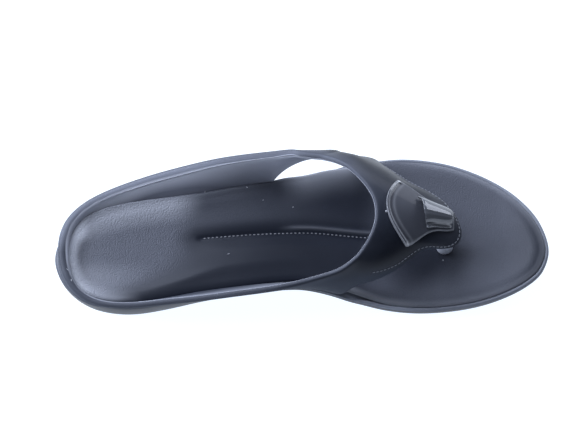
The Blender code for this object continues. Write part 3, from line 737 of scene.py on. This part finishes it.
def beadShare(place):  # thinner round the front, on the near side and at the heel
    x, y = place.x / mm, place.y / mm
    return 1 - max(upper["frontThin"] * smooth(*upper["frontThinFrom"], x),
                   upper["nearThin"] * (1 - smooth(*upper["nearThinTo"], y)),
                   upper["heelThin"] * (1 - smooth(*upper["heelThinTo"], x)))


def makeUpper():
    bm = subdivided(cadCopy("upper"), 2)
    sculpt(bm, heelSwell)
    shoulder, rounds = Vector(upper["shoulder"]), upper["shoulderRounds"]
    for k in range(rounds):  # its middle is eased most
        within = upper["shoulderReach"] * (1 - 0.6 * k / rounds)
        soft = [v for v in bm.verts if (v.co / mm - shoulder).length < within]
        bmesh.ops.smooth_vert(bm, verts=soft, factor=0.5, use_axis_x=True, use_axis_y=True, use_axis_z=True)
    fill, way = Vector(upper["fill"]), Vector(upper["fillWay"])
    for v in bm.verts:
        v.co += way * upper["fillHeight"] * hump((v.co / mm - fill).length, upper["fillReach"]) * mm
    tree = BVHTree.FromBMesh(bm)
    path = collarPath(tree)
    markLining(bm, path)
    piece = finishPiece(bm, "upper_leather", upperLeather(), "upper")

    first = min(range(len(path)), key=lambda i: path[i].x)  # it sinks in at the back of the heel
    edge = [place for place in path[first:] + path[:first]
            if place.x / mm > along(upper["liningFrom"], place.y / mm)]
    # a pale piping along the lining's edge; its pale colour stands partly for a painted highlight along
    # that edge
    bead = piping("lining_edge", edge, upper["liningRadius"] * mm, beadShare)
    finishPiece(bead, "lining_edge", thread("pale lining edge", (0.31, 0.335, 0.405, 1)))

    bm = bmesh.new()
    path = spaced(vampEdge(tree, upper["stitchInset"]), upper["stitchStep"] * mm)
    for here, onward in zip(path, path[1:]):
        place, normal = tree.find_nearest((here + onward) / 2)[:2]
        stitch(bm, place + normal * upper["stitchRise"] * mm, onward - here, normal, upper["stitch"])
    finishPiece(bm, "vamp_stitches", thread("edge thread", (0.17, 0.185, 0.225, 1)))
    return piece


# toe post and ornament

sleeveForm = {
    "middle": ((60, 0.3), (78, -0.6)),  # x, then y in mm
    "half": ((60, 8.9), (63, 8.0), (66, 7.0), (72, 6.1), (78, 4.9)),  # x, then half its width in mm
    # share of the half width, near side negative, then how far the tube is pressed down to a flat foot
    "foot": ((-1.1, 0), (-1.0, 0), (-0.9, 1.7), (-0.8, 2.4), (-0.74, 2.4), (-0.68, 1.7), (-0.6, 1.0),
             (-0.5, 0.5), (-0.35, 0.1), (-0.2, 0), (1.1, 0)),
    "ribs": (-0.04, -0.30), "ribWidth": 0.08, "rib": 0.12,
    # its open end: from where to where (x), its lowest point and its height, how far it is cut
    # back, and how steeply the sleeve falls towards the toe
    "end": (60.5, 67), "endLow": 47.6, "endHeight": 6.0, "cut": 3.8, "fall": 0.55,
    "mouthShade": (66, 68),  # the dark of its open end stops here (x)
}
plateForm = {
    # painted highlight lines on the bead, the rim and the fold: how far from the rear edge, how wide, how
    # bright
    "lines": ((1.2, 0.38, 0.5), (0.0, 0.25, 0.25), (3.7, 0.7, 0.1)),
    "sideLine": (0.35, 0.18),  # how wide, how bright
    "bead": (1.6, 2.6), "crease": 0.75,  # where the polished bead ends, and how sharp the edges stay
    "fieldRear": (2.4, 4.5), "fieldSide": (0.3, 2.0),  # where the even field begins
}


def shapeSleeve(bm):  # a flat foot along its near side, fine ribs along its top and a slanting open end
    start, end = sleeveForm["end"]
    for v in bm.verts:
        x, y, z = v.co / mm
        across = (y - along(sleeveForm["middle"], x)) / along(sleeveForm["half"], x)
        ribs = sum(hump(across - at, sleeveForm["ribWidth"]) for at in sleeveForm["ribs"])
        level = (z - sleeveForm["endLow"] + sleeveForm["fall"] * (x - start)) / sleeveForm["endHeight"]
        high = min(1.0, max(0.0, level))
        cut = (high - 1) * sleeveForm["cut"] * (0.6 + 0.4 * across) * (1 - smooth(start, end, x))
        up = sleeveForm["rib"] * ribs - along(sleeveForm["foot"], across) - sleeveForm["fall"] * cut
        v.co += Vector((cut, 0, up)) * mm
    # the open end's faces are painted dark, as painted shade
    mouthShade = bm.verts.layers.float.new("mouthShade")
    bm.normal_update()
    for v in bm.verts:
        v[mouthShade] = smooth(0.35, 0.6, -v.normal.x) * (1 - smooth(*sleeveForm["mouthShade"], v.co.x / mm))


def markPlate(bm):  # painted highlight lines along the rear bead and the hollow sides, and an even field between
    line = bm.verts.layers.float.new("line")
    polish = bm.verts.layers.float.new("polish")
    bm.normal_update()
    sides = [v for v in bm.verts if abs(v.normal.z) < 0.4]
    fromRear = nearestOf([v.co for v in sides if v.normal.x < -0.25])
    fromSide = nearestOf([v.co for v in sides if v.normal.x >= -0.25])
    sideWidth, sideBright = plateForm["sideLine"]
    for v in bm.verts:
        rear, side = fromRear(v.co)[2] / mm, fromSide(v.co)[2] / mm
        bright = sum(share * hump(rear - at, width) for at, width, share in plateForm["lines"])
        v[line] = bright + sideBright * hump(side, sideWidth)
        v[polish] = 1 - smooth(*plateForm["bead"], rear)

    # the field follows one cubic surface, fitted to its own heights
    inner = [v for v in bm.verts if v.normal.z > 0.6 and v[polish] < 0.5]
    places = [v.co / mm / 30 for v in inner]
    terms = np.array([[x ** i * y ** k for i in range(4) for k in range(4 - i)] for x, y, _ in places])
    fitted = terms @ np.linalg.lstsq(terms, np.array([v.co.z for v in inner]), rcond=None)[0]
    for v, z in zip(inner, fitted):
        rear, side = fromRear(v.co)[2] / mm, fromSide(v.co)[2] / mm
        share = smooth(*plateForm["fieldRear"], rear) * smooth(*plateForm["fieldSide"], side)
        v.co.z += (z - v.co.z) * share


def makeTrim():
    # the post is painted pale, standing in for the light it catches
    post = trimFinish("satin post leather", ior=1.5, roughness=0.40, coat=0.1,
                     base=(0.330, 0.355, 0.430, 1), haze=(0.420, 0.450, 0.530, 1))
    finishPiece(subdivided(cadCopy("toe_post"), 2), "toe_post_wrap", post, "toe_post")

    plate = trimFinish("gloss plate", ior=1.34, roughness=0.52, coat=0.06,
                      base=(0.029, 0.032, 0.043, 1), haze=(0.037, 0.041, 0.054, 1))
    bm = cadCopy("ornament_plate")
    crease = bm.edges.layers.float.new("crease_edge")
    for e in bm.edges:
        e[crease] = plateForm["crease"] if e.calc_face_angle(0.0) > 0.8 else 0.0
    subdivided(bm, 3)
    markPlate(bm)
    finishPiece(bm, "fan_plate", plate, "ornament_plate")

    sleeve = trimFinish("high gloss sleeve", ior=1.48, roughness=0.08, coat=0.35,
                       base=(0.046, 0.051, 0.064, 1), haze=(0.058, 0.064, 0.078, 1), streaks=0.6)
    bm = subdivided(cadCopy("ornament_sleeve"), 3)
    shapeSleeve(bm)
    finishPiece(bm, "half_round_sleeve", sleeve, "ornament_sleeve")


# pale specks of lint and dust, and a painted glint on the vamp, each where a line of sight from the
# camera's eye meets the shoe

specks = (  # x, y, z in mm, then length and width
    (-51.1, 20.8, 23.9, 0.9, 0.5), (-29.1, 24.4, 21.3, 0.9, 0.6), (-20.6, 17.3, 20.8, 0.6, 0.4),
    # the speck at (42.2, -0.6, 52.7) on the vamp is a painted glint
    (-4.8, 14.1, 18.8, 0.9, 0.4), (73.9, -13.5, 13.2, 0.9, 0.6), (42.2, -0.6, 52.7, 1.6, 1.0),
    (-119.8, -25.4, 33.4, 1.9, 0.4), (-117.7, -31.1, 33.9, 1.5, 0.4), (-38.5, -12.6, 20.7, 1.6, 0.3),
)
speckHeight, speckTurn = 0.3, 1.9  # mm, and radians from one to the next


def makeSpecks(pieces):
    trees = []
    for piece in pieces:
        corners = [v.co for v in piece.data.vertices]
        trees.append(BVHTree.FromPolygons(corners, [face.vertices for face in piece.data.polygons]))
    eye = Vector(studio["eye"]) * mm
    bm = bmesh.new()
    for k, (x, y, z, length, width) in enumerate(specks):
        sight = (Vector((x, y, z)) * mm - eye).normalized()
        place, normal, _, _ = min((tree.ray_cast(eye, sight) for tree in trees),
                                  key=lambda hit: hit[3] if hit[0] else math.inf)
        lie = normal.orthogonal()
        lie.rotate(Matrix.Rotation(speckTurn * k, 3, normal))
        stitch(bm, place, lie, normal, (length, width, speckHeight))
    finishPiece(bm, "lint_and_glint_specks", thread("pale lint and glint", (0.34, 0.36, 0.42, 1)))


makeSole()
footbedCover = makeFootbed()
upperCover = makeUpper()
makeTrim()
makeSpecks((footbedCover, upperCover))
